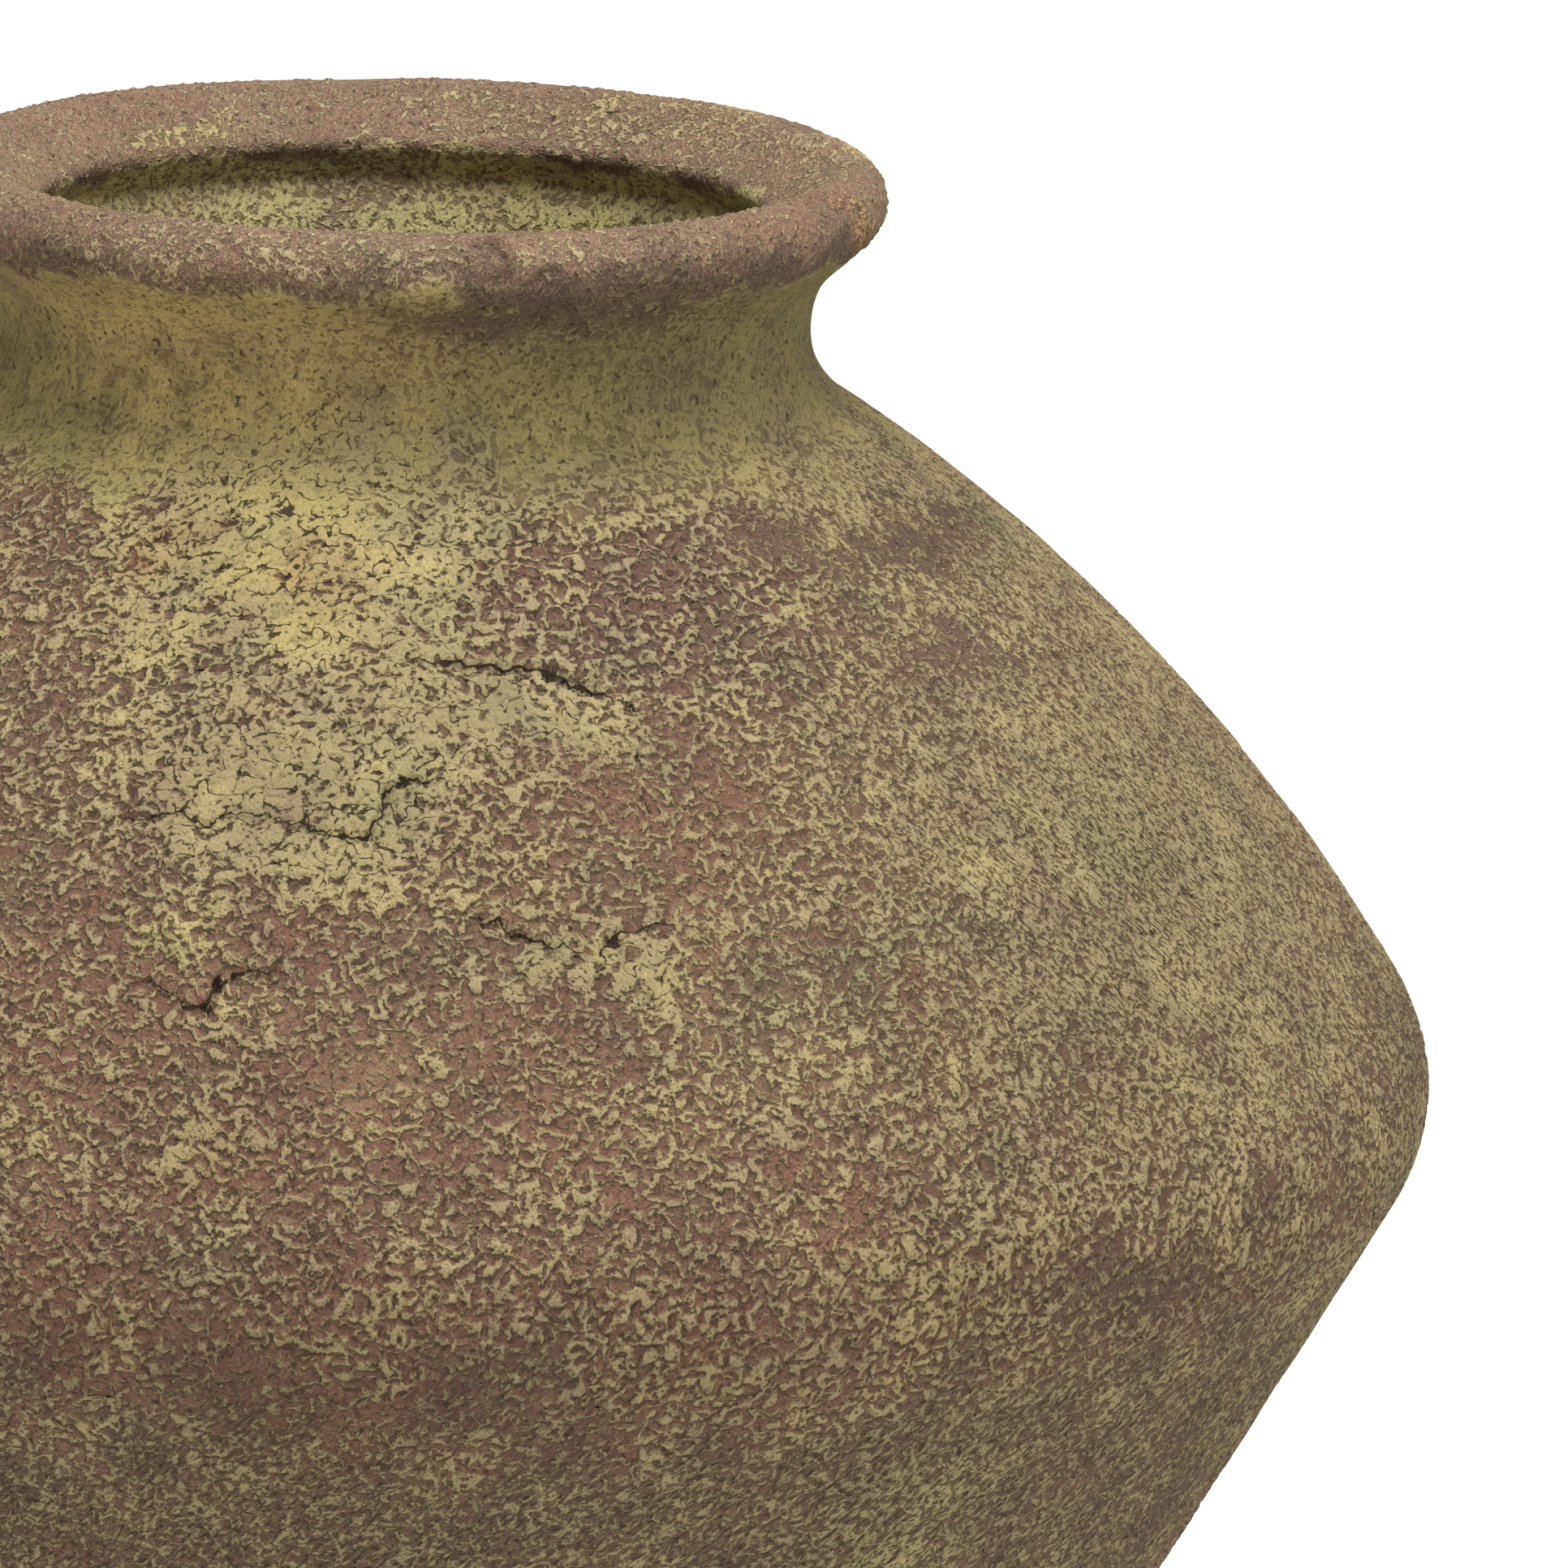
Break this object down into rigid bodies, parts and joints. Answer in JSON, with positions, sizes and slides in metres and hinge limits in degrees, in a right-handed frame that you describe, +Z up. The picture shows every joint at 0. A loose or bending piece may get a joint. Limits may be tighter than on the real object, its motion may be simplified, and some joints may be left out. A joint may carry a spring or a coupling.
{
  "type": "greek pithos",
  "caption": "Wide-shouldered clay storage jar with a tight belly bend, tapering lower wall, short hollow neck and thick rolled lip; weathered yellow crust over red-brown clay.",
  "frame": {"origin": "centre of the underside, on the surface the jar stands on", "axes": "+Z up the jar's axis to the mouth, +X to the right and +Y away from the viewer in the pictured view"},
  "size_m": [0.3999, 0.4, 0.3775],
  "materials": {
    "crusted_clay": "matt, rough sandy crust over red-brown clay",
    "streaked_clay": "matt, fine streaky crust, darker and greyer",
    "neck_clay": "matt, smooth olive-yellow slip with fine pits",
    "rim_clay": "matt, mauve-red clay with pale speckle",
    "base_clay": "matt, bare fired clay"
  },
  "bodies": {
    "root": {"base_slab": "base_clay", "lower_course_1": "streaked_clay", "lower_course_2": "streaked_clay", "lower_course_3": "streaked_clay", "lower_course_4": "streaked_clay", "belly_course": "crusted_clay", "shoulder_course_1": "crusted_clay", "shoulder_course_2": "crusted_clay", "shoulder_course_3": "crusted_clay", "shoulder_course_4": "crusted_clay", "neck_collar": "neck_clay", "rim_roll": "rim_clay"}
  },
  "joints": []
}
